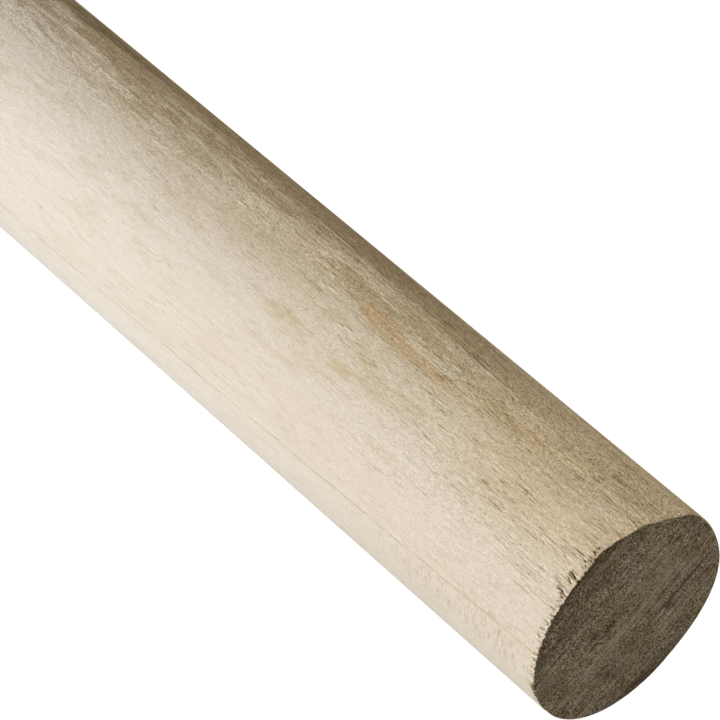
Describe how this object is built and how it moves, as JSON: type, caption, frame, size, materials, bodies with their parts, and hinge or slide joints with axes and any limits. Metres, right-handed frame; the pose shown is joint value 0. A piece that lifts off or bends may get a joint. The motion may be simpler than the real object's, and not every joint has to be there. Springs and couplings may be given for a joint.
{
  "type": "wooden dowel rod",
  "caption": "Plain round wooden dowel rod of constant diameter, sawn square at both ends, used as a peg, axle, handle or spacer.",
  "frame": {"origin": "middle of the bottom end, which the rod stands on", "axes": "+Z runs along the rod and its grain, up to the torn sawn end; -Y is the side that the picture looks at"},
  "size_m": [0.0254, 0.0254, 0.3048],
  "materials": {
    "wood": "bare, lightly sanded hardwood with open pores, sawn end grain darker than the side"
  },
  "bodies": {
    "root": {"dowel_rod": "wood"}
  },
  "joints": []
}
